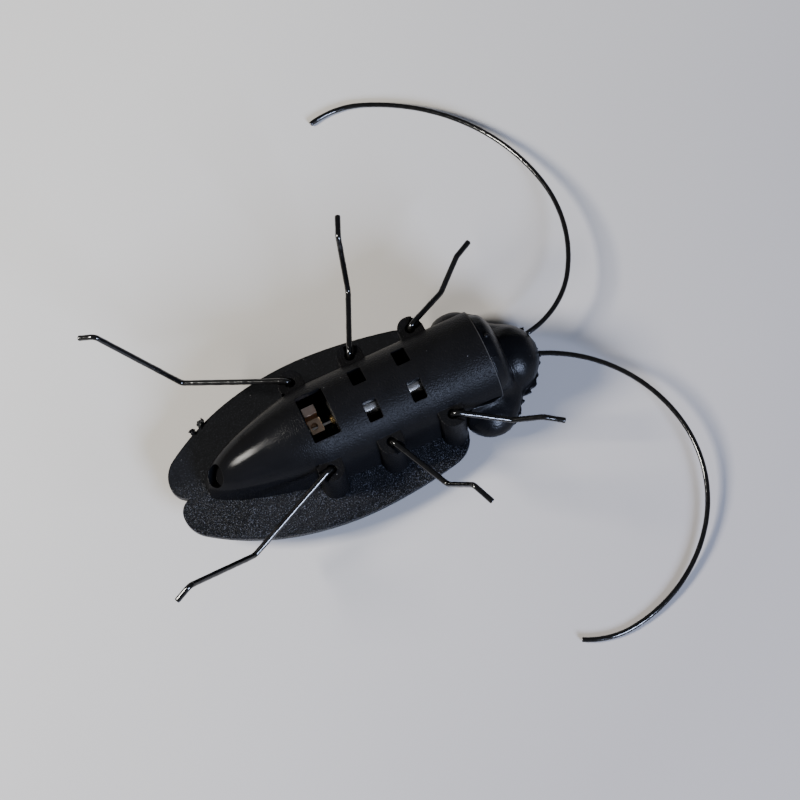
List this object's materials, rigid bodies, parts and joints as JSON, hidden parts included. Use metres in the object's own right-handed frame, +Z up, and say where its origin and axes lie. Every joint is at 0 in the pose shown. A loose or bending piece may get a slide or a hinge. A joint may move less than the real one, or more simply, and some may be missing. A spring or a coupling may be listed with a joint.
{
  "type": "solar vibration cockroach toy",
  "caption": "Small black moulded toy cockroach on its back, with formed wire legs and antennas, a vibration motor behind belly windows and a solar panel under its wings.",
  "frame": {"origin": "centre of the solar panel's flat outer face, which the toy lies on", "axes": "+Z up out of the belly, +X towards the head, +Y towards the toy's right legs as it lies on its back"},
  "size_m": [0.0845, 0.1016, 0.0241],
  "materials": {
    "clear_resin": "clear poured resin, slightly smoky",
    "silicon": "dark blue silicon with fine silver lines",
    "green_board": "green solder mask over fibreglass",
    "black_wing": "black, coarse spark-eroded texture",
    "black_belly": "black, satin with a fine texture",
    "black_thorax": "black, smooth satin",
    "motor_steel": "nickel-plated drawn steel",
    "brass": "turned brass",
    "magnet": "dull grey sintered magnet",
    "copper_wire": "enamelled copper",
    "shaft_steel": "ground steel",
    "cap_plastic": "off-white nylon",
    "tin": "bright tin solder",
    "tungsten": "brownish-grey sintered metal",
    "red_sleeve": "red insulation",
    "black_sleeve": "black insulation",
    "leg_wire": "gloss black lacquer on steel wire",
    "antenna_wire": "gloss black lacquer on steel wire"
  },
  "bodies": {
    "shell": {"belly_housing": "black_belly", "wing_deck": "black_wing", "thorax_shell": "black_thorax", "panel_cover": "clear_resin", "solar_cells": "silicon", "solar_board": "green_board", "motor_can": "motor_steel", "motor_bush": "brass", "motor_magnet": "magnet", "motor_end_cap": "cap_plastic", "motor_brushes": "brass", "motor_terminals": "tin", "lead_red": "red_sleeve", "lead_black": "black_sleeve", "solder_joints": "tin"},
    "rotor": {"motor_shaft": "shaft_steel", "rotor_winding": "copper_wire", "commutator": "copper_wire", "eccentric_weight": "tungsten"},
    "leg_front_left": {"leg_front_left": "leg_wire"},
    "leg_front_right": {"leg_front_right": "leg_wire"},
    "leg_middle_left": {"leg_middle_left": "leg_wire"},
    "leg_middle_right": {"leg_middle_right": "leg_wire"},
    "leg_rear_left": {"leg_rear_left": "leg_wire"},
    "leg_rear_right": {"leg_rear_right": "leg_wire"},
    "antenna_left": {"antenna_left": "antenna_wire"},
    "antenna_right": {"antenna_right": "antenna_wire"}
  },
  "joints": [
    {"name": "motor_spin", "type": "hinge", "parent": "shell", "child": "rotor", "pos_m": [0, 0, 0.0109], "axis": [1, 0, 0], "continuous": true},
    {"name": "front_left_swivel", "type": "hinge", "parent": "shell", "child": "leg_front_left", "pos_m": [0.0164, -0.0079, 0.0132], "axis": [0, 0, 1], "range_deg": [-12, 12]},
    {"name": "front_right_swivel", "type": "hinge", "parent": "shell", "child": "leg_front_right", "pos_m": [0.0164, 0.0079, 0.0132], "axis": [0, 0, 1], "range_deg": [-12, 12]},
    {"name": "middle_left_swivel", "type": "hinge", "parent": "shell", "child": "leg_middle_left", "pos_m": [0.006, -0.0079, 0.0132], "axis": [0, 0, 1], "range_deg": [-12, 12]},
    {"name": "middle_right_swivel", "type": "hinge", "parent": "shell", "child": "leg_middle_right", "pos_m": [0.006, 0.0079, 0.0132], "axis": [0, 0, 1], "range_deg": [-12, 12]},
    {"name": "rear_left_swivel", "type": "hinge", "parent": "shell", "child": "leg_rear_left", "pos_m": [-0.0042, -0.0079, 0.0132], "axis": [0, 0, 1], "range_deg": [-12, 12]},
    {"name": "rear_right_swivel", "type": "hinge", "parent": "shell", "child": "leg_rear_right", "pos_m": [-0.0042, 0.0079, 0.0132], "axis": [0, 0, 1], "range_deg": [-12, 12]},
    {"name": "antenna_left_twist", "type": "hinge", "parent": "shell", "child": "antenna_left", "pos_m": [0.0332, -0.0018, 0.0056], "axis": [-0.9373, 0.3464, 0.039], "range_deg": [0, 60]},
    {"name": "antenna_right_twist", "type": "hinge", "parent": "shell", "child": "antenna_right", "pos_m": [0.0332, 0.0018, 0.0056], "axis": [0.9912, 0.1316, -0.0132], "range_deg": [0, 60]}
  ]
}
